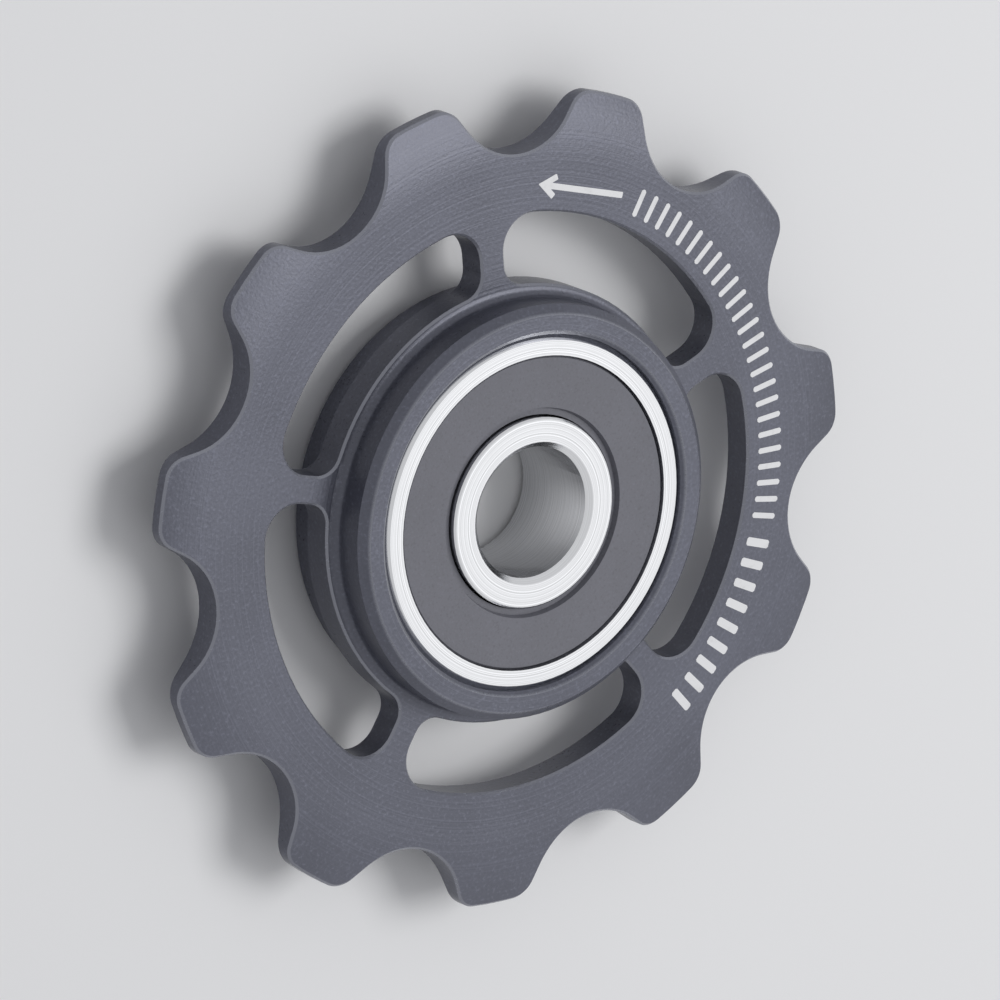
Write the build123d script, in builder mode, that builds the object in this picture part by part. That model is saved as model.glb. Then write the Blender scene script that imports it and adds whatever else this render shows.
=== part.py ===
from build123d import *
import math
import os

# A derailleur jockey wheel: an eleven-tooth alloy wheel pressed round a sealed ball bearing.
# Millimetres. It lies flat with its axle along Z, and the origin is the middle of the bore.

# Chain and teeth
tooth_count = 11
chain_pitch = 12.7
roller_diameter = 7.75
roller_clearance = 0.03
tip_below_pitch_circle = 0.7
seat_half_angle = 52.0
tip_corner_radius = 1.3
tip_thickness = 0.8
crown_lead = 0.45
tooth_edge_break = 0.12

# Web, rim and spokes
web_thickness = 1.8
rim_depth = 3.15
spoke_count = 5
spoke_width = 1.5
window_outer_corner = 1.8
window_inner_corner = 1.2
outer_corner_share = 0.5
inner_corner_share = 0.35
window_edge_break = 0.12

# Hub
hub_wall = 1.55
hub_edge_chamfer = 0.5
hub_root_fillet = 0.5
hub_ledge = 0.15
hub_proud_of_bearing = 0.2
hub_lead_in = 0.25

# Bearing, in the outside size of a 607
bore_diameter = 7.0
bearing_diameter = 19.0
bearing_width = 6.0
ring_chamfer = 0.3
inner_ring_edge = 0.1
seal_seat_wall = 1.12

# Balls and races
ball_count = 7
ball_side_room = 1.0155
race_conformity = 0.52
race_clearance = 0.02
inner_shoulder = 0.6
outer_shoulder = 0.75

# Cage
cage_land_clearance = 0.45
cage_seal_clearance = 0.1
pocket_clearance = 0.08
cage_height_over_balls = 1.25
cage_relief_width = 0.6
cage_relief_depth = 1.6

# Seals
seal_recess = 0.12
seal_thickness = 0.5
seal_bead_depth = 0.15
seal_bead_height = 0.22
seal_edge = 0.14
lip_clearance = 0.08
lip_width = 0.42
lip_thickness = 0.2
lip_slope = 0.1

# Sizes that follow
pitch_radius = chain_pitch / (2 * math.sin(math.pi / tooth_count))
gap_radius = roller_diameter / 2 + roller_clearance
root_radius = pitch_radius - gap_radius
tip_radius = pitch_radius - tip_below_pitch_circle
crown_radius = root_radius - crown_lead
web_half = web_thickness / 2
tip_half = tip_thickness / 2

bore_radius = bore_diameter / 2
bearing_radius = bearing_diameter / 2
bearing_half = bearing_width / 2
hub_radius = bearing_radius + hub_wall
hub_half = bearing_half + hub_proud_of_bearing
window_inner_radius = hub_radius + hub_root_fillet + hub_ledge
window_outer_radius = root_radius - rim_depth
window_height = window_outer_radius - window_inner_radius
outer_corner = min(window_outer_corner, window_height * outer_corner_share)
inner_corner = min(window_inner_corner, window_height * inner_corner_share)

ball_radius = bearing_half - ball_side_room
ball_circle_radius = (bore_radius + bearing_radius) / 2
race_radius = race_conformity * 2 * ball_radius
outer_race_bottom = ball_circle_radius + ball_radius + race_clearance
inner_race_bottom = ball_circle_radius - ball_radius - race_clearance
inner_land_radius = inner_race_bottom + inner_shoulder
outer_land_radius = outer_race_bottom - outer_shoulder
seal_seat_radius = bearing_radius - seal_seat_wall

seal_face = bearing_half - seal_recess
seal_back = seal_face - seal_thickness
bead_radius = seal_seat_radius + seal_bead_depth
bead_top = seal_back + seal_bead_height
lip_radius = inner_land_radius + lip_clearance
lip_face = seal_back + lip_thickness

pocket_radius = ball_radius + pocket_clearance
cage_inner_radius = inner_land_radius + cage_land_clearance
cage_outer_radius = outer_land_radius - cage_land_clearance
cage_bottom = cage_seal_clearance - seal_back

# How near a corner or edge must lie to count as being on a circle or a face
search_slack = 0.001

os.makedirs("parts", exist_ok=True)


def corners_on(sketch, radius):
    """The corners of a sketch that lie on a circle round the axle."""
    return sketch.vertices().filter_by(
        lambda corner: abs(math.hypot(corner.X, corner.Y) - radius) < search_slack
    )


def face_edges(part, inner, outer, height):
    """The edges in a band round the axle that lie at a height or above it on either face."""
    def wanted(edge):
        middle = edge.position_at(0.5)
        away = math.hypot(middle.X, middle.Y)
        in_band = inner - search_slack < away < outer + search_slack
        return in_band and abs(middle.Z) > height - search_slack
    return part.edges().filter_by(wanted)


def raced_ring(label, half_section, race_centre):
    """A bearing ring turned from a section mirrored about mid-width, with a ball race ground in."""
    with BuildPart() as ring:
        with BuildSketch(Plane.XZ):
            with BuildLine():
                Polyline(*half_section, close=True)
            make_face()
            mirror(about=Plane.XZ)
            with Locations((race_centre, 0)):
                Circle(race_radius, mode=Mode.SUBTRACT)
        revolve(axis=Axis.Z)
    ring.part.label = label
    export_step(ring.part, f"parts/{label}.step")


def seal(label, side):
    """A moulded seal: a bead snapped into the outer ring, a flat face and a thin stepped lip."""
    section = [
        (lip_radius, seal_back),
        (bead_radius, seal_back),
        (bead_radius, bead_top),
        (seal_seat_radius, bead_top),
        (seal_seat_radius - seal_edge, seal_face),
        (lip_radius + lip_width, seal_face),
        (lip_radius + lip_width - lip_slope, lip_face),
        (lip_radius, lip_face),
    ]
    with BuildPart() as disc:
        with BuildSketch(Plane.XZ):
            with BuildLine():
                Polyline(*[(radius, side * height) for radius, height in section], close=True)
            make_face()
        revolve(axis=Axis.Z)
    disc.part.label = label
    export_step(disc.part, f"parts/{label}.step")


# Wheel: a turned blank, the tooth outline milled round it, then the windows
with BuildPart() as wheel:
    with BuildSketch(Plane.XZ):
        with BuildLine():
            Polyline(
                (tip_radius, 0),
                (bearing_radius, 0),
                (bearing_radius, hub_half - hub_lead_in),
                (bearing_radius + hub_lead_in, hub_half),
                (hub_radius - hub_edge_chamfer, hub_half),
                (hub_radius, hub_half - hub_edge_chamfer),
                (hub_radius, web_half + hub_root_fillet),
            )
            TangentArc(
                (hub_radius, web_half + hub_root_fillet),
                (hub_radius + hub_root_fillet, web_half),
                tangent=(0, -1),
            )
            Line((hub_radius + hub_root_fillet, web_half), (crown_radius, web_half))
            TangentArc((crown_radius, web_half), (tip_radius, tip_half), tangent=(1, 0))
            Line((tip_radius, tip_half), (tip_radius, 0))
        make_face()
        mirror(about=Plane.XZ)
    revolve(axis=Axis.Z)

    seat_angle = math.radians(seat_half_angle)
    seat_end = (-gap_radius * math.cos(seat_angle), gap_radius * math.sin(seat_angle))
    flank_end = (0, gap_radius / math.sin(seat_angle))
    with BuildSketch() as tooth_outline:
        Circle(tip_radius)
        with PolarLocations(pitch_radius, tooth_count):
            Circle(gap_radius, mode=Mode.SUBTRACT)
            Polygon(
                (seat_end[0], -seat_end[1]),
                (flank_end[0], -flank_end[1]),
                flank_end,
                seat_end,
                align=None,
                mode=Mode.SUBTRACT,
            )
        fillet(corners_on(tooth_outline, tip_radius), tip_corner_radius)
    extrude(amount=hub_half, both=True, mode=Mode.INTERSECT)

    with BuildSketch() as windows:
        Circle(window_outer_radius)
        Circle(window_inner_radius, mode=Mode.SUBTRACT)
        with PolarLocations(0, spoke_count):
            Rectangle(
                tip_radius,
                spoke_width,
                align=(Align.MIN, Align.CENTER),
                mode=Mode.SUBTRACT,
            )
        fillet(corners_on(windows, window_outer_radius), outer_corner)
        fillet(corners_on(windows, window_inner_radius), inner_corner)
    extrude(amount=hub_half, both=True, mode=Mode.SUBTRACT)
    chamfer(face_edges(wheel, root_radius, tip_radius, tip_half), tooth_edge_break)
    chamfer(face_edges(wheel, window_inner_radius, window_outer_radius, web_half), window_edge_break)
wheel.part.label = "wheel"
export_step(wheel.part, "parts/wheel.step")

# Bearing rings
raced_ring(
    "bearing_outer_ring",
    [
        (outer_land_radius, 0),
        (outer_land_radius, seal_back),
        (bead_radius, seal_back),
        (bead_radius, bead_top),
        (seal_seat_radius, bead_top),
        (seal_seat_radius, bearing_half),
        (bearing_radius - ring_chamfer, bearing_half),
        (bearing_radius, bearing_half - ring_chamfer),
        (bearing_radius, 0),
    ],
    outer_race_bottom - race_radius,
)
raced_ring(
    "bearing_inner_ring",
    [
        (bore_radius, 0),
        (bore_radius, bearing_half - ring_chamfer),
        (bore_radius + ring_chamfer, bearing_half),
        (inner_land_radius - inner_ring_edge, bearing_half),
        (inner_land_radius, bearing_half - inner_ring_edge),
        (inner_land_radius, 0),
    ],
    inner_race_bottom + race_radius,
)

# Balls
for number in range(1, ball_count + 1):
    with BuildPart() as ball:
        with PolarLocations(ball_circle_radius, 1, start_angle=360 / ball_count * (number - 1)):
            Sphere(ball_radius)
    ball.part.label = f"ball_{number}"
    export_step(ball.part, f"parts/ball_{number}.step")

# Cage: a crown moulded round the balls and open towards the front, so that they snap in
with BuildPart() as cage:
    with BuildSketch(Plane.XY.offset(cage_bottom)):
        Circle(cage_outer_radius)
        Circle(cage_inner_radius, mode=Mode.SUBTRACT)
    extrude(amount=cage_height_over_balls - cage_bottom)
    with PolarLocations(ball_circle_radius, ball_count):
        Sphere(pocket_radius, mode=Mode.SUBTRACT)
    with BuildSketch(Plane.XY.offset(cage_height_over_balls)):
        with PolarLocations(ball_circle_radius, ball_count, start_angle=180 / ball_count):
            Rectangle(2 * (cage_outer_radius - cage_inner_radius), cage_relief_width)
    extrude(amount=-cage_relief_depth, mode=Mode.SUBTRACT)
cage.part.label = "ball_cage"
export_step(cage.part, "parts/ball_cage.step")

# Seals
seal("front_seal", 1)
seal("rear_seal", -1)
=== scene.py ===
"""Dresses, prints and lights a derailleur jockey wheel: a toothed alloy wheel round a sealed ball bearing.

Lengths are in metres and the axle lies along Z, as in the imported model. The wheel lies flat on a pale
floor, and its front face looks up.
"""

import logging
import math
from collections.abc import Iterable, Mapping
from dataclasses import dataclass, field
from enum import Enum
from functools import cached_property
from typing import Any

import bmesh
import bpy
from mathutils import Matrix, Vector


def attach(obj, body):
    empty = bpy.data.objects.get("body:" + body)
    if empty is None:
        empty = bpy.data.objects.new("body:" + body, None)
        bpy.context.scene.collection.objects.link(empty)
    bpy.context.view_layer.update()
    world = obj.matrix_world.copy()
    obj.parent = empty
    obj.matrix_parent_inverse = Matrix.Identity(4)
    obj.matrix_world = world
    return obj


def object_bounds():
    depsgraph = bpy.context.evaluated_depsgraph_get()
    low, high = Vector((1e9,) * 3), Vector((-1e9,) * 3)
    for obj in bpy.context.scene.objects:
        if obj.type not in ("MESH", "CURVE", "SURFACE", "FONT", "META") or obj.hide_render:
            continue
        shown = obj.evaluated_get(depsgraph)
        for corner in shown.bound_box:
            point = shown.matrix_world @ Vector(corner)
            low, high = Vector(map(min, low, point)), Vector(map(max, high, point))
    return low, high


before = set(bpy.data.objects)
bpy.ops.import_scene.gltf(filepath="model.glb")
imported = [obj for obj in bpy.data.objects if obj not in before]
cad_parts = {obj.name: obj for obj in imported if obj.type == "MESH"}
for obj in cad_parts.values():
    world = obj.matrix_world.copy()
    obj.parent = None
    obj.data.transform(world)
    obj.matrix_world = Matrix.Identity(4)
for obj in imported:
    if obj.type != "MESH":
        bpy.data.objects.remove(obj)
cad_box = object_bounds()

LOG = logging.getLogger("jockey_wheel")

Colour = tuple[float, float, float]
Point = tuple[float, float]
Span = tuple[float, float]

# Layers of noise in a soft cloud and in a fine grain.
SOFT_DETAIL = 2.0
FINE_DETAIL = 3.0

# A wall along the axle has level 0 and a face square to it has level 1.
# Each span leads from one kind of surface to another.
WALL_TO_SLOPE = (0.45, 0.6)
FACE_TO_SLOPE = (0.93, 0.84)
SLOPE_TO_FACE = (0.9, 0.99)

# The bevel profile that gives a round corner.
ROUND_PROFILE = 0.5


class Slot(str, Enum):
    """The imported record's material slots that a new piece can take its finish from."""

    PRINT = "white_print"


class Body(str, Enum):
    """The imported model's bodies that a new piece can ride on."""

    WHEEL = "wheel"


class Graph:
    """A node tree, and the one way of adding a node to it."""

    def __init__(self, tree: bpy.types.NodeTree) -> None:
        """Empties the tree and keeps it."""
        tree.nodes.clear()
        self.tree = tree

    def node(
        self,
        kind: str,
        settings: Mapping[str, Any] | None = None,
        sockets: Mapping[str | int, Any] | None = None,
    ) -> bpy.types.Node:
        """Adds a node.

        Args:
            kind: The node's type.
            settings: The node's own properties, which are set first.
            sockets: A value or a link for each input, by the input's place, identifier or name.

        Returns:
            The node.
        """
        made = self.tree.nodes.new(kind)
        for name, value in (settings or {}).items():
            setattr(made, name, value)
        for key, value in (sockets or {}).items():
            self.feed(self.entry(made, key), value)
        return made

    @staticmethod
    def entry(node: bpy.types.Node, key: str | int) -> bpy.types.NodeSocket:
        """Finds one input of a node.

        Args:
            node: The node.
            key: The input's place, identifier or name.

        Returns:
            The input.
        """
        if isinstance(key, str):
            for socket in node.inputs:
                if socket.identifier == key:
                    return socket
        return node.inputs[key]

    def feed(self, socket: bpy.types.NodeSocket, value: Any) -> None:
        """Links an input to another socket or sets its value.

        Args:
            socket: The input.
            value: A wrapped socket, a socket, a number, a colour or a vector.
        """
        source = value.socket if isinstance(value, Value) else value
        if isinstance(source, bpy.types.NodeSocket):
            self.tree.links.new(source, socket)
        elif socket.type == "RGBA":
            socket.default_value = (*source, 1.0)
        else:
            socket.default_value = source

    def mix(self, first: Any, second: Any, share: "Value") -> bpy.types.NodeSocket:
        """Mixes two colours.

        Args:
            first: The colour where the share is 0.
            second: The colour where it is 1.
            share: How much of the second there is.

        Returns:
            The mixed colour.
        """
        made = self.node(
            "ShaderNodeMix",
            {"data_type": "RGBA"},
            {"Factor_Float": share, "A_Color": first, "B_Color": second},
        )
        return next(output for output in made.outputs if output.identifier == "Result_Color")


class Value:
    """A number that varies over a surface or from ray to ray. Arithmetic on it adds Math nodes."""

    def __init__(self, graph: Graph, socket: bpy.types.NodeSocket) -> None:
        """Wraps an output of a node."""
        self.graph = graph
        self.socket = socket

    def worked(self, operation: str, *terms: "Value | float") -> "Value":
        """Adds a Math node.

        Args:
            operation: What the node does.
            terms: Its inputs, in order.

        Returns:
            The node's result.
        """
        made = self.graph.node("ShaderNodeMath", {"operation": operation}, dict(enumerate(terms)))
        return Value(self.graph, made.outputs[0])

    def __add__(self, other: "Value | float") -> "Value":
        """Adds."""
        return self.worked("ADD", self, other)

    def __radd__(self, other: float) -> "Value":
        """Adds to a plain number."""
        return self.worked("ADD", other, self)

    def __sub__(self, other: "Value | float") -> "Value":
        """Subtracts."""
        return self.worked("SUBTRACT", self, other)

    def __rsub__(self, other: float) -> "Value":
        """Subtracts from a plain number."""
        return self.worked("SUBTRACT", other, self)

    def __mul__(self, other: "Value | float") -> "Value":
        """Multiplies."""
        return self.worked("MULTIPLY", self, other)

    def __rmul__(self, other: float) -> "Value":
        """Multiplies a plain number."""
        return self.worked("MULTIPLY", other, self)

    def __abs__(self) -> "Value":
        """Drops the sign."""
        return self.worked("ABSOLUTE", self)

    def larger(self, other: "Value") -> "Value":
        """Gives the larger of two numbers."""
        return self.worked("MAXIMUM", self, other)

    def length_with(self, other: "Value") -> "Value":
        """Gives the long side of the right angle that two numbers make."""
        return self.worked("SQRT", self * self + other * other)

    def swing(self, amount: float) -> "Value":
        """Turns a pattern from 0 to 1 into a swing about 0, by half the amount each way."""
        return (self - 0.5) * amount

    def rise(self, start: float, full: float) -> "Value":
        """Climbs smoothly from 0 to 1.

        Args:
            start: Where it is still 0.
            full: Where it has reached 1, above or below the start.

        Returns:
            The climb.
        """
        made = self.graph.node(
            "ShaderNodeMapRange",
            {"interpolation_type": "SMOOTHSTEP", "clamp": True},
            {"Value": self, "From Min": start, "From Max": full},
        )
        return Value(self.graph, made.outputs["Result"])


def tinted(colour: Colour, share: float) -> Colour:
    """Gives a darker or paler tone of a colour.

    Args:
        colour: The colour.
        share: How bright the tone is beside it.

    Returns:
        The tone.
    """
    return (colour[0] * share, colour[1] * share, colour[2] * share)


@dataclass(frozen=True)
class Accent:
    """How a pattern tints a colour: where it starts and is full, how much shows, and in which tone."""

    start: float
    full: float
    share: float
    tone: float


class FinishGraph(Graph):
    """A material's nodes, with the patterns that the finishes share."""

    def __init__(self, name: str) -> None:
        """Makes an empty material and reads its surface's place in the part.

        Args:
            name: The new material's name.
        """
        self.material = bpy.data.materials.new(name)
        self.material.use_nodes = True
        super().__init__(self.material.node_tree)
        self.place = self.node("ShaderNodeTexCoord").outputs["Object"]
        axes = self.node("ShaderNodeSeparateXYZ", sockets={"Vector": self.place})
        self.x, self.y, self.z = (Value(self, output) for output in axes.outputs)

    @cached_property
    def level(self) -> Value:
        """Tells faces from walls.

        Returns:
            The level: 1 on a face square to the axle, and 0 on a wall along it.
        """
        facing = self.node("ShaderNodeNewGeometry").outputs["True Normal"]
        axes = self.node("ShaderNodeSeparateXYZ", sockets={"Vector": facing})
        return abs(Value(self, axes.outputs["Z"]))

    def slopes(self) -> Value:
        """Gives 1 on edges cut at about 45 degrees, and 0 on faces and walls."""
        return self.level.rise(*WALL_TO_SLOPE) * self.level.rise(*FACE_TO_SLOPE)

    def noise(
        self,
        size: float,
        detail: float = SOFT_DETAIL,
        stretch: tuple[float, float, float] = (1.0, 1.0, 1.0),
    ) -> Value:
        """Makes an uneven pattern.

        Args:
            size: How large a blotch is, in metres.
            detail: How many finer layers it has.
            stretch: How much finer it is along each axis.

        Returns:
            The pattern, from 0 to 1.
        """
        spread = self.node("ShaderNodeVectorMath", {"operation": "MULTIPLY"}, {0: self.place, 1: stretch})
        made = self.node(
            "ShaderNodeTexNoise",
            {"noise_dimensions": "3D"},
            {"Vector": spread.outputs["Vector"], "Scale": 1 / size, "Detail": detail},
        )
        return Value(self, made.outputs[0])

    def turned_lines(self, pitch: float) -> Value:
        """Makes the fine lines that a lathe or a grinder leaves round the axle.

        Args:
            pitch: How far apart the lines are, in metres.

        Returns:
            The lines, from 0 to 1.
        """
        along = (self.x.length_with(self.y) + self.z) * (1 / pitch)
        made = self.node(
            "ShaderNodeTexNoise",
            {"noise_dimensions": "1D"},
            {"W": along, "Scale": 1.0, "Detail": SOFT_DETAIL},
        )
        return Value(self, made.outputs[0])

    def drift(self, colour: Colour, tones: Span, pattern: Value) -> bpy.types.NodeSocket:
        """Drifts between a darker and a paler tone of a colour.

        Args:
            colour: The colour.
            tones: How bright the two tones are beside it.
            pattern: A pattern that is 0 at the first tone and 1 at the second.

        Returns:
            The drifting colour.
        """
        return self.mix(tinted(colour, tones[0]), tinted(colour, tones[1]), pattern)

    def accent(self, under: Any, colour: Colour, pattern: Value, accent: Accent) -> bpy.types.NodeSocket:
        """Lays a tone of a colour over another colour where a pattern shows.

        Args:
            under: The colour that it is laid over.
            colour: The colour whose tone it is.
            pattern: The pattern, from 0 to 1.
            accent: Where, how much and in which tone it shows.

        Returns:
            The accented colour.
        """
        shows = pattern.rise(accent.start, accent.full) * accent.share
        return self.mix(under, tinted(colour, accent.tone), shows)

    def bump(self, height: Value, depth: float, strength: float) -> bpy.types.NodeSocket:
        """Raises a pattern.

        Args:
            height: The pattern, from 0 to 1.
            depth: How deep it is, in metres.
            strength: How much of it shows.

        Returns:
            The raised surface's direction.
        """
        made = self.node(
            "ShaderNodeBump",
            sockets={"Strength": strength, "Distance": depth, "Height": height},
        )
        return made.outputs["Normal"]

    def surface(self, sockets: Mapping[str | int, Any]) -> bpy.types.Material:
        """Ends the material in a shader.

        Args:
            sockets: The shader's inputs.

        Returns:
            The material.
        """
        shader = self.node("ShaderNodeBsdfPrincipled", sockets=sockets)
        self.node("ShaderNodeOutputMaterial", sockets={"Surface": shader.outputs["BSDF"]})
        return self.material


@dataclass(frozen=True)
class AnodisedAlloy:
    """Dark satin anodising: a blasted grain over faint lathe lines, and edges painted paler, partly as wear
    and partly as a painted highlight.
    """

    name: str = "dark_anodised_alloy"
    colour: Colour = (0.096, 0.1, 0.128)
    metal_share: float = 0.35
    grain: float = 0.00018
    pits: Accent = Accent(0.5, 0.3, 0.4, 0.8)
    specks: Accent = Accent(0.52, 0.75, 0.6, 1.6)
    cloud: float = 0.006
    cloud_tones: Span = (0.8, 1.2)
    lathe_pitch: float = 0.00014
    lathe_lines: Accent = Accent(0.5, 0.75, 0.4, 1.35)
    # The edge colour is partly wear and partly a painted highlight along the chamfers.
    edge_wear_and_highlight_colour: Colour = (0.28, 0.288, 0.33)
    edge_least: float = 0.45
    edge_spread: float = 0.6
    web_half: float = 0.0009
    web_reach: float = 0.000945
    hub_half: float = 0.0032
    hub_wear: float = 0.00016
    roughness: float = 0.37
    grain_swing: float = 0.2
    cloud_swing: float = 0.12
    lathe_swing: float = 0.1
    edge_polish: float = 0.1
    relief: float = 0.000022
    relief_share: float = 0.8
    grain_relief: float = 0.7
    lathe_relief: float = 0.4

    def worn_and_highlit_edges(self, finish: FinishGraph, cloud: Value) -> Value:
        """Finds the edges painted paler, partly as wear and partly as a painted highlight: those of the web
        and the crest of the hub's.

        Args:
            finish: The material's nodes.
            cloud: The pattern that makes them uneven.

        Returns:
            How pale the edge is.
        """
        height = abs(finish.z)
        on_web = height.rise(self.web_reach, self.web_half)
        on_hub = height.rise(self.hub_half - self.hub_wear, self.hub_half)
        return finish.slopes() * (on_web + on_hub) * (self.edge_least + cloud * self.edge_spread)

    def make(self) -> bpy.types.Material:
        """Builds the material.

        Returns:
            The material.
        """
        finish = FinishGraph(self.name)
        grain = finish.noise(self.grain, FINE_DETAIL)
        cloud = finish.noise(self.cloud)
        lathe = finish.turned_lines(self.lathe_pitch) * finish.level.rise(*SLOPE_TO_FACE)
        # The paler edges are partly wear and partly a painted highlight.
        edge = self.worn_and_highlit_edges(finish, cloud)
        clouded = finish.drift(self.colour, self.cloud_tones, cloud)
        pitted = finish.accent(clouded, self.colour, grain, self.pits)
        grained = finish.accent(pitted, self.colour, grain, self.specks)
        ringed = finish.accent(grained, self.colour, lathe, self.lathe_lines)
        roughness = (
            self.roughness
            + grain.swing(self.grain_swing)
            + cloud.swing(self.cloud_swing)
            + lathe.swing(self.lathe_swing)
            - edge * self.edge_polish
        )
        height = grain * self.grain_relief + lathe * self.lathe_relief
        return finish.surface({
            "Base Color": finish.mix(ringed, self.edge_wear_and_highlight_colour, edge),
            "Metallic": self.metal_share,
            "Roughness": roughness,
            "Normal": finish.bump(height, self.relief, self.relief_share),
        })


@dataclass(frozen=True)
class GroundSteel:
    """Bright bearing steel with the fine lines of the grinding wheel round the axle."""

    name: str = "ground_bearing_steel"
    colour: Colour = (0.69, 0.695, 0.71)
    line_pitch: float = 0.00008
    line_tones: Span = (0.84, 1.12)
    line_contrast: Span = (0.25, 0.75)
    cloud: float = 0.0025
    dull_clouds: Accent = Accent(0.5, 0.75, 0.4, 0.9)
    corner_tone: float = 1.1
    corner_share: float = 0.6
    roughness: float = 0.2
    line_swing: float = 0.16
    cloud_swing: float = 0.08
    corner_polish: float = 0.06
    relief: float = 0.000002
    relief_share: float = 0.5

    def make(self) -> bpy.types.Material:
        """Builds the material.

        Returns:
            The material.
        """
        finish = FinishGraph(self.name)
        lines = finish.turned_lines(self.line_pitch)
        cloud = finish.noise(self.cloud, FINE_DETAIL)
        corner = finish.slopes()
        lined = finish.drift(self.colour, self.line_tones, lines.rise(*self.line_contrast))
        clouded = finish.accent(lined, self.colour, cloud, self.dull_clouds)
        roughness = (
            self.roughness
            + lines.swing(self.line_swing)
            + cloud.swing(self.cloud_swing)
            - corner * self.corner_polish
        )
        return finish.surface({
            "Base Color": finish.mix(
                clouded, tinted(self.colour, self.corner_tone), corner * self.corner_share
            ),
            "Metallic": 1.0,
            "Roughness": roughness,
            "Normal": finish.bump(lines, self.relief, self.relief_share),
        })


@dataclass(frozen=True)
class MouldedRubber:
    """Matt black seal rubber with a fine mould grain and faint moulding rings."""

    name: str = "moulded_seal_rubber"
    colour: Colour = (0.138, 0.139, 0.162)
    grain: float = 0.00014
    pits: Accent = Accent(0.48, 0.25, 0.5, 0.6)
    specks: Accent = Accent(0.54, 0.78, 0.5, 1.4)
    cloud: float = 0.003
    cloud_tones: Span = (0.84, 1.16)
    ring_pitch: float = 0.0004
    roughness: float = 0.56
    grain_swing: float = 0.25
    cloud_swing: float = 0.1
    relief: float = 0.00002
    relief_share: float = 0.6
    grain_relief: float = 0.6
    ring_relief: float = 0.5

    def make(self) -> bpy.types.Material:
        """Builds the material.

        Returns:
            The material.
        """
        finish = FinishGraph(self.name)
        grain = finish.noise(self.grain, FINE_DETAIL)
        cloud = finish.noise(self.cloud, FINE_DETAIL)
        rings = finish.turned_lines(self.ring_pitch)
        clouded = finish.drift(self.colour, self.cloud_tones, cloud)
        pitted = finish.accent(clouded, self.colour, grain, self.pits)
        height = grain * self.grain_relief + rings * self.ring_relief
        return finish.surface({
            "Base Color": finish.accent(pitted, self.colour, grain, self.specks),
            "Roughness": self.roughness + grain.swing(self.grain_swing) + cloud.swing(self.cloud_swing),
            "Normal": finish.bump(height, self.relief, self.relief_share),
        })


@dataclass(frozen=True)
class LappedCeramic:
    """Black ceramic, lapped to a shine, with a faint speckle under the surface."""

    name: str = "lapped_ball_ceramic"
    colour: Colour = (0.07, 0.07, 0.074)
    speckle: float = 0.00008
    specks: Accent = Accent(0.62, 0.78, 0.5, 1.8)
    cloud: float = 0.00096
    cloud_tones: Span = (0.85, 1.15)
    roughness: float = 0.09
    speckle_swing: float = 0.05
    relief: float = 0.0000005
    relief_share: float = 0.4

    def make(self) -> bpy.types.Material:
        """Builds the material.

        Returns:
            The material.
        """
        finish = FinishGraph(self.name)
        speckle = finish.noise(self.speckle, FINE_DETAIL)
        clouded = finish.drift(self.colour, self.cloud_tones, finish.noise(self.cloud))
        return finish.surface({
            "Base Color": finish.accent(clouded, self.colour, speckle, self.specks),
            "Roughness": self.roughness + speckle.swing(self.speckle_swing),
            "Normal": finish.bump(speckle, self.relief, self.relief_share),
        })


@dataclass(frozen=True)
class MouldedPolymer:
    """Dark cage polymer with short fibres, drawn out along one axis."""

    name: str = "moulded_cage_polymer"
    colour: Colour = (0.1, 0.098, 0.094)
    fibre: float = 0.0002
    fibre_stretch: tuple[float, float, float] = (1.0, 0.35, 2.5)
    fibres: Accent = Accent(0.6, 0.8, 0.5, 1.6)
    cloud: float = 0.0015
    cloud_tones: Span = (0.85, 1.15)
    roughness: float = 0.5
    fibre_swing: float = 0.2
    relief: float = 0.000006
    relief_share: float = 0.5

    def make(self) -> bpy.types.Material:
        """Builds the material.

        Returns:
            The material.
        """
        finish = FinishGraph(self.name)
        fibre = finish.noise(self.fibre, FINE_DETAIL, self.fibre_stretch)
        clouded = finish.drift(self.colour, self.cloud_tones, finish.noise(self.cloud))
        return finish.surface({
            "Base Color": finish.accent(clouded, self.colour, fibre, self.fibres),
            "Roughness": self.roughness + fibre.swing(self.fibre_swing),
            "Normal": finish.bump(fibre, self.relief, self.relief_share),
        })


@dataclass(frozen=True)
class WhitePrint:
    """Pad-printed white ink: nearly even, with a faint orange peel and thin places."""

    name: str = "white_print_ink"
    colour: Colour = (0.8, 0.8, 0.81)
    peel: float = 0.0002
    thin: float = 0.0006
    thin_places: Accent = Accent(0.52, 0.75, 0.5, 0.78)
    roughness: float = 0.46
    peel_swing: float = 0.2
    relief: float = 0.000005
    relief_share: float = 0.5

    def make(self) -> bpy.types.Material:
        """Builds the material.

        Returns:
            The material.
        """
        finish = FinishGraph(self.name)
        peel = finish.noise(self.peel)
        thin = finish.noise(self.thin, FINE_DETAIL)
        return finish.surface({
            "Base Color": finish.accent(self.colour, self.colour, thin, self.thin_places),
            "Roughness": self.roughness + peel.swing(self.peel_swing),
            "Normal": finish.bump(peel, self.relief, self.relief_share),
        })


@dataclass(frozen=True)
class PaleFloor:
    """A plain pale floor with a barely uneven tone."""

    name: str = "pale_floor"
    colour: Colour = (0.84, 0.84, 0.845)
    cloud: float = 0.05
    cloud_tones: Span = (0.99, 1.01)
    roughness: float = 0.7
    gloss: float = 0.2

    def make(self) -> bpy.types.Material:
        """Builds the material.

        Returns:
            The material.
        """
        finish = FinishGraph(self.name)
        return finish.surface({
            "Base Color": finish.drift(self.colour, self.cloud_tones, finish.noise(self.cloud)),
            "Roughness": self.roughness,
            "Specular IOR Level": self.gloss,
        })


def put(name: str, mesh: bpy.types.Mesh) -> bpy.types.Object:
    """Adds a mesh to the scene.

    Args:
        name: The new object's name.
        mesh: Its mesh, already in place.

    Returns:
        The object, which sits at the origin.
    """
    made = bpy.data.objects.new(name, mesh)
    bpy.context.scene.collection.objects.link(made)
    return made


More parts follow.
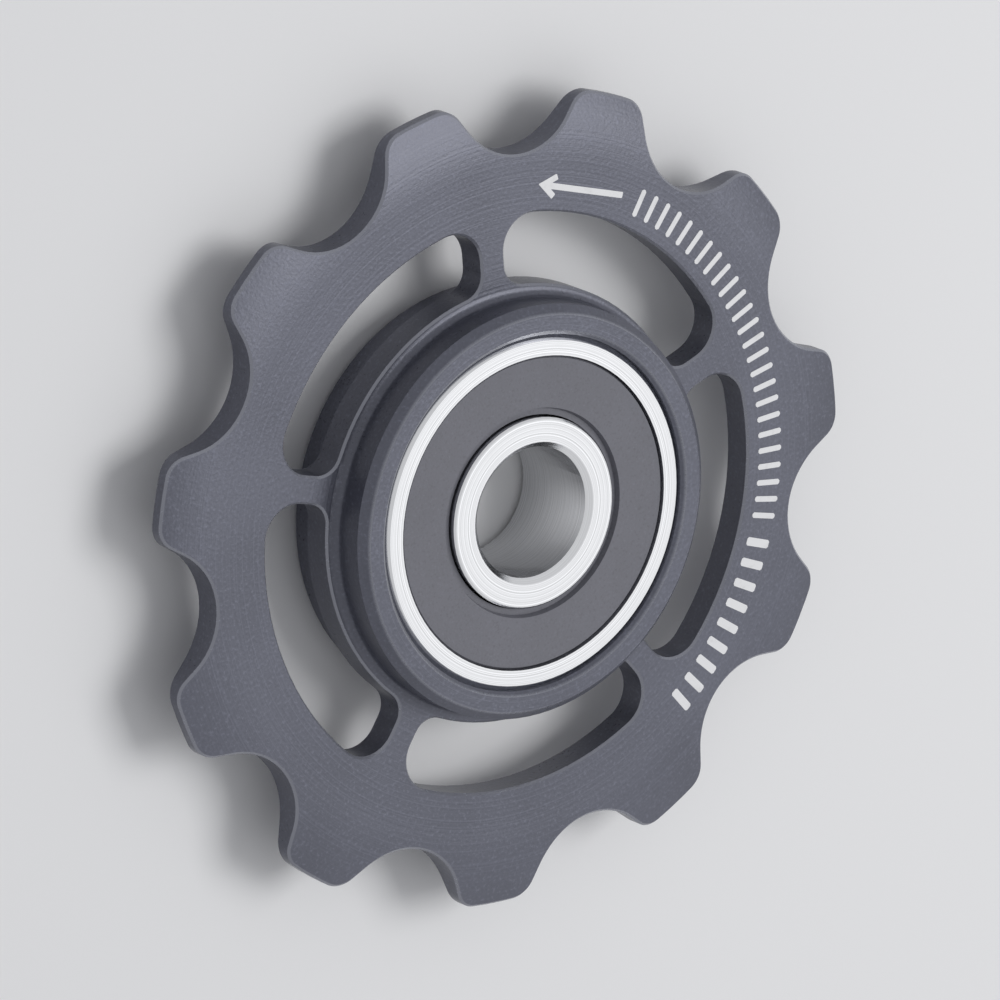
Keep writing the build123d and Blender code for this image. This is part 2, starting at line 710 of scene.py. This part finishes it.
def give_finish(nodes: Iterable[str], material: bpy.types.Material) -> None:
    """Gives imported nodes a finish.

    Args:
        nodes: The nodes' names.
        material: The finish.
    """
    for name in nodes:
        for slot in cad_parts[name].material_slots:
            slot.material = material
        LOG.info("%s wears %s", name, material.name)


@dataclass(frozen=True)
class MarkRow:
    """One row of plain printed marks on an arc round the axle. Angles are in degrees, anticlockwise."""

    name: str
    start: float
    sweep: float
    count: int
    width: float


@dataclass
class MarkTree:
    """The Geometry Nodes tree that prints marks along an arc, each a thin rounded film of ink."""

    name: str = "marks_along_an_arc"
    arc_steps: int = 256
    corner_steps: int = 3
    weld: float = 0.0000001
    tree: bpy.types.NodeTree = field(init=False)
    keys: dict[str, str] = field(init=False, default_factory=dict)

    def __post_init__(self) -> None:
        """Builds the tree with its named inputs."""
        self.tree = bpy.data.node_groups.new(self.name, "GeometryNodeTree")
        graph = Graph(self.tree)
        self.name_inputs()
        sizes = graph.node("NodeGroupInput")
        row = self.spread(graph, sizes, self.film(graph, sizes))
        inked = graph.node(
            "GeometryNodeSetMaterial",
            sockets={"Geometry": row, "Material": sizes.outputs["Ink"]},
        )
        graph.node("NodeGroupOutput", sockets={0: inked.outputs["Geometry"]})

    def name_inputs(self) -> None:
        """Gives the tree its inputs, and keeps the identifier of each by its name."""
        kinds = {
            "Radius": "NodeSocketFloat",
            "Start": "NodeSocketFloat",
            "Sweep": "NodeSocketFloat",
            "Count": "NodeSocketInt",
            "Width": "NodeSocketFloat",
            "Height": "NodeSocketFloat",
            "Corner": "NodeSocketFloat",
            "Bottom": "NodeSocketFloat",
            "Film": "NodeSocketFloat",
            "Ink": "NodeSocketMaterial",
        }
        for name, kind in kinds.items():
            made = self.tree.interface.new_socket(name, in_out="INPUT", socket_type=kind)
            self.keys[name] = made.identifier
        self.tree.interface.new_socket("Marks", in_out="OUTPUT", socket_type="NodeSocketGeometry")

    def film(self, graph: Graph, sizes: bpy.types.Node) -> bpy.types.NodeSocket:
        """Makes one mark, a closed film with rounded corners.

        Args:
            graph: The tree.
            sizes: The node that gives the tree's inputs.

        Returns:
            The mark.
        """
        outline = graph.node(
            "GeometryNodeCurvePrimitiveQuadrilateral",
            {"mode": "RECTANGLE"},
            {"Width": sizes.outputs["Width"], "Height": sizes.outputs["Height"]},
        )
        rounded = graph.node(
            "GeometryNodeFilletCurve",
            sockets={
                "Curve": outline.outputs["Curve"],
                "Radius": sizes.outputs["Corner"],
                "Count": self.corner_steps,
                "Limit Radius": True,
            },
        )
        base = graph.node("GeometryNodeFillCurve", sockets={"Curve": rounded.outputs["Curve"]})
        upward = graph.node("ShaderNodeCombineXYZ", sockets={"Z": sizes.outputs["Film"]})
        raised = graph.node(
            "GeometryNodeExtrudeMesh",
            {"mode": "FACES"},
            {
                "Mesh": base.outputs["Mesh"],
                "Offset": upward.outputs["Vector"],
                "Offset Scale": 1.0,
                "Individual": False,
            },
        )
        underside = graph.node("GeometryNodeFlipFaces", sockets={"Mesh": base.outputs["Mesh"]})
        both = graph.node("GeometryNodeJoinGeometry")
        graph.feed(both.inputs[0], raised.outputs["Mesh"])
        graph.feed(both.inputs[0], underside.outputs["Mesh"])
        closed = graph.node(
            "GeometryNodeMergeByDistance",
            sockets={"Geometry": both.outputs[0], "Distance": self.weld},
        )
        return closed.outputs["Geometry"]

    def spread(
        self, graph: Graph, sizes: bpy.types.Node, mark: bpy.types.NodeSocket
    ) -> bpy.types.NodeSocket:
        """Sets copies of a mark along the arc, each square to it, and lifts them to the face.

        Args:
            graph: The tree.
            sizes: The node that gives the tree's inputs.
            mark: The mark.

        Returns:
            The row of marks, as one mesh.
        """
        arc = graph.node(
            "GeometryNodeCurveArc",
            {"mode": "RADIUS"},
            {
                "Resolution": self.arc_steps,
                "Radius": sizes.outputs["Radius"],
                "Start Angle": sizes.outputs["Start"],
                "Sweep Angle": sizes.outputs["Sweep"],
            },
        )
        places = graph.node(
            "GeometryNodeCurveToPoints",
            {"mode": "COUNT"},
            {"Curve": arc.outputs["Curve"], "Count": sizes.outputs["Count"]},
        )
        turn = graph.node(
            "FunctionNodeAlignRotationToVector",
            {"axis": "X", "pivot_axis": "Z"},
            {"Vector": places.outputs["Tangent"]},
        )
        copies = graph.node(
            "GeometryNodeInstanceOnPoints",
            sockets={
                "Points": places.outputs["Points"],
                "Instance": mark,
                "Rotation": turn.outputs["Rotation"],
            },
        )
        lift = graph.node("ShaderNodeCombineXYZ", sockets={"Z": sizes.outputs["Bottom"]})
        lifted = graph.node(
            "GeometryNodeTransform",
            sockets={"Geometry": copies.outputs["Instances"], "Translation": lift.outputs["Vector"]},
        )
        real = graph.node("GeometryNodeRealizeInstances", sockets={"Geometry": lifted.outputs["Geometry"]})
        return real.outputs["Geometry"]

    def grow(self, name: str, sizes: Mapping[str, Any]) -> bpy.types.Object:
        """Runs the tree once and keeps its result as a plain mesh.

        Args:
            name: The new object's name.
            sizes: A value for each of the tree's inputs, by name.

        Returns:
            The object.
        """
        made = put(name, bpy.data.meshes.new(name + "_seed"))
        modifier = made.modifiers.new(self.name, "NODES")
        modifier.node_group = self.tree
        for key, value in sizes.items():
            modifier[self.keys[key]] = value
        shown = made.evaluated_get(bpy.context.evaluated_depsgraph_get())
        mesh = bpy.data.meshes.new_from_object(shown)
        mesh.name = name
        made.modifiers.remove(modifier)
        made.data = mesh
        return made


@dataclass
class ToothedWheel:
    """The toothed wheel and the white print on its front face. Angles are in degrees, anticlockwise."""

    node: str = "wheel"
    face_height: float = 0.0009
    ink_film: float = 0.000014
    ink_sunk: float = 0.000004
    print_radius: float = 0.01695
    mark_height: float = 0.0015
    mark_corner: float = 0.00009
    rows: tuple[MarkRow, ...] = (
        MarkRow("printed_fine_marks", -35.0, 73.0, 25, 0.0003),
        MarkRow("printed_bold_marks", -71.5, 31.5, 9, 0.00046),
    )
    arrow_tail: float = 43.2
    arrow_tip: float = 61.2
    arrow_stroke: float = 0.00033
    arrow_head: float = 0.00098
    arrow_half_angle: float = 33.0
    arrow_corner: float = 0.00006
    arrow_corner_steps: int = 4

    def dress(self, alloy: bpy.types.Material) -> None:
        """Gives the wheel its anodised finish."""
        give_finish([self.node], alloy)

    def arrow_outline(self) -> list[Point]:
        """Draws a straight arrow with an open head.

        Returns:
            The corners round the arrow, from the tip, with the tip at the origin and the arrow along +X.
        """
        half = self.arrow_stroke / 2
        angle = math.radians(self.arrow_half_angle)
        shaft = 2 * self.print_radius * math.sin(math.radians(self.arrow_tip - self.arrow_tail) / 2)
        barb = Vector((-math.cos(angle), math.sin(angle))) * self.arrow_head
        across = Vector((math.sin(angle), math.cos(angle))) * half
        nose = half / math.sin(angle)
        join = -nose * (1 + math.cos(angle))
        upper = [tuple(barb + across), tuple(barb - across), (join, half), (-shaft, half)]
        lower = [(x, -y) for x, y in reversed(upper)]
        return [(x - nose, y) for x, y in [(nose, 0.0), *upper, *lower]]

    def print_arrow(self, ink: bpy.types.Material) -> bpy.types.Object:
        """Prints the arrow that shows which way the wheel turns.

        Args:
            ink: The ink.

        Returns:
            The printed arrow.
        """
        middle = math.radians(self.arrow_tip + self.arrow_tail) / 2
        tip = math.radians(self.arrow_tip)
        turn = Matrix.Rotation(middle + math.pi / 2, 4, "Z")
        bottom = self.face_height - self.ink_sunk
        start = Vector((self.print_radius * math.cos(tip), self.print_radius * math.sin(tip), bottom))
        shape = bmesh.new()
        corners = [shape.verts.new((x, y, 0.0)) for x, y in self.arrow_outline()]
        shape.faces.new(corners)
        bmesh.ops.bevel(
            shape,
            geom=corners,
            offset=self.arrow_corner,
            segments=self.arrow_corner_steps,
            profile=ROUND_PROFILE,
            affect="VERTICES",
        )
        grown = bmesh.ops.extrude_face_region(shape, geom=shape.faces[:])
        tops = [item for item in grown["geom"] if isinstance(item, bmesh.types.BMVert)]
        bmesh.ops.translate(shape, verts=tops, vec=(0.0, 0.0, self.ink_film + self.ink_sunk))
        bmesh.ops.transform(shape, matrix=Matrix.Translation(start) @ turn, verts=shape.verts[:])
        bmesh.ops.recalc_face_normals(shape, faces=shape.faces[:])
        mesh = bpy.data.meshes.new("printed_arrow")
        shape.to_mesh(mesh)
        shape.free()
        mesh.materials.append(ink)
        return put("printed_arrow", mesh)

    def print_rows(self, ink: bpy.types.Material) -> list[bpy.types.Object]:
        """Prints the rows of plain marks behind the arrow.

        Args:
            ink: The ink.

        Returns:
            One piece for each row.
        """
        marks = MarkTree()
        return [
            marks.grow(row.name, {
                "Radius": self.print_radius,
                "Start": math.radians(row.start),
                "Sweep": math.radians(row.sweep),
                "Count": row.count,
                "Width": row.width,
                "Height": self.mark_height,
                "Corner": self.mark_corner,
                "Bottom": self.face_height - self.ink_sunk,
                "Film": self.ink_film + self.ink_sunk,
                "Ink": ink,
            })
            for row in self.rows
        ]

    def build(self, alloy: bpy.types.Material, ink: bpy.types.Material) -> None:
        """Dresses the wheel and prints its front face.

        Args:
            alloy: The wheel's finish.
            ink: The print's ink.
        """
        self.dress(alloy)
        for piece in [self.print_arrow(ink), *self.print_rows(ink)]:
            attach(piece, Body.WHEEL.value)
            LOG.info("%s has %d faces", piece.name, len(piece.data.polygons))


@dataclass
class BallBearing:
    """The sealed ball bearing in the wheel's hub."""

    rings: tuple[str, ...] = ("bearing_outer_ring", "bearing_inner_ring")
    seals: tuple[str, ...] = ("front_seal", "rear_seal")
    ball_count: int = 7
    cage: str = "ball_cage"

    def balls(self) -> list[str]:
        """Names the balls."""
        return [f"ball_{number}" for number in range(1, self.ball_count + 1)]

    def build(self) -> None:
        """Gives the rings, seals, balls and cage their finishes."""
        give_finish(self.rings, GroundSteel().make())
        give_finish(self.seals, MouldedRubber().make())
        give_finish(self.balls(), LappedCeramic().make())
        give_finish([self.cage], MouldedPolymer().make())


def direction(azimuth: float, elevation: float) -> Vector:
    """Points from the part towards a place round it.

    Args:
        azimuth: Degrees anticlockwise from +X.
        elevation: Degrees above the floor.

    Returns:
        The direction, of length 1.
    """
    turn = math.radians(azimuth)
    rise = math.radians(elevation)
    return Vector((math.cos(rise) * math.cos(turn), math.cos(rise) * math.sin(turn), math.sin(rise)))


@dataclass(frozen=True)
class Softbox:
    """A soft rectangular lamp that faces the part."""

    name: str
    azimuth: float
    elevation: float
    distance: float
    width: float
    height: float
    brightness: float

    def build(self) -> None:
        """Hangs the lamp. Its brightness is what a mirror would show."""
        lamp = bpy.data.lights.new(self.name, "AREA")
        lamp.shape = "RECTANGLE"
        lamp.size = self.width
        lamp.size_y = self.height
        lamp.energy = self.brightness * math.pi * self.width * self.height
        made = bpy.data.objects.new(self.name, lamp)
        away = direction(self.azimuth, self.elevation)
        made.location = away * self.distance
        made.rotation_euler = away.to_track_quat("Z", "Y").to_euler()
        made.visible_camera = False
        bpy.context.scene.collection.objects.link(made)


@dataclass
class Studio:
    """The floor, the light and the camera."""

    azimuth: float = 130.3
    elevation: float = 50.4
    roll: float = 111.4
    distance: float = 0.6
    lens: float = 417.0
    sensor: float = 36.0
    near_clip: float = 0.01
    floor_half: float = 3.0
    floor_gap: float = 0.00001
    ambient: Colour = (0.42, 0.425, 0.44)
    backdrop: Colour = (0.76, 0.765, 0.775)
    lamps: tuple[Softbox, ...] = (
        Softbox("key_softbox", 355.0, 60.0, 0.45, 0.24, 0.24, 4.6),
        Softbox("wide_softbox", 303.0, 52.0, 0.85, 0.9, 0.9, 0.36),
    )

    def place_camera(self) -> None:
        """Sets the camera at the photograph's angle, turned about its line of sight as there."""
        back = direction(self.azimuth, self.elevation)
        level_right = Vector((0, 0, 1)).cross(back).normalized()
        level_up = back.cross(level_right)
        turn = math.radians(self.roll)
        right = level_right * math.cos(turn) + level_up * math.sin(turn)
        up = back.cross(right)
        lens = bpy.data.cameras.new("camera")
        lens.lens = self.lens
        lens.sensor_width = self.sensor
        lens.clip_start = self.near_clip
        made = bpy.data.objects.new("camera", lens)
        axes = Matrix((right, up, back)).transposed().to_4x4()
        made.matrix_world = Matrix.Translation(back * self.distance) @ axes
        bpy.context.scene.collection.objects.link(made)
        bpy.context.scene.camera = made

    def lay_floor(self, height: float) -> None:
        """Lays the floor under the part.

        Args:
            height: The part's lowest point.
        """
        half = self.floor_half
        shape = bmesh.new()
        corners = [(-half, -half), (half, -half), (half, half), (-half, half)]
        shape.faces.new([shape.verts.new((x, y, height - self.floor_gap)) for x, y in corners])
        mesh = bpy.data.meshes.new("floor")
        shape.to_mesh(mesh)
        shape.free()
        mesh.materials.append(PaleFloor().make())
        put("floor", mesh)

    def light(self) -> None:
        """Sets an even surrounding light, with a pale backdrop for metal to mirror, and hangs the lamps."""
        world = bpy.data.worlds.new("studio")
        world.use_nodes = True
        graph = Graph(world.node_tree)
        rays = graph.node("ShaderNodeLightPath").outputs
        mirrored = Value(graph, rays["Is Glossy Ray"])
        for kind in ("Is Camera Ray", "Is Transmission Ray"):
            mirrored = mirrored.larger(Value(graph, rays[kind]))
        colour = graph.mix(self.ambient, self.backdrop, mirrored)
        glow = graph.node("ShaderNodeBackground", sockets={"Color": colour, "Strength": 1.0})
        graph.node("ShaderNodeOutputWorld", sockets={"Surface": glow.outputs["Background"]})
        bpy.context.scene.world = world
        for lamp in self.lamps:
            lamp.build()

    def build(self, floor_height: float) -> None:
        """Builds the studio round the part.

        Args:
            floor_height: The part's lowest point.
        """
        bpy.context.scene.view_settings.view_transform = "Standard"
        self.place_camera()
        self.lay_floor(floor_height)
        self.light()


def main() -> None:
    """Builds the studio, the wheel and the bearing in order."""
    logging.basicConfig(level=logging.INFO, format="%(name)s: %(message)s")
    Studio().build(cad_box[0].z)
    ToothedWheel().build(AnodisedAlloy().make(), WhitePrint().make())
    BallBearing().build()


if __name__ == "__main__":
    main()
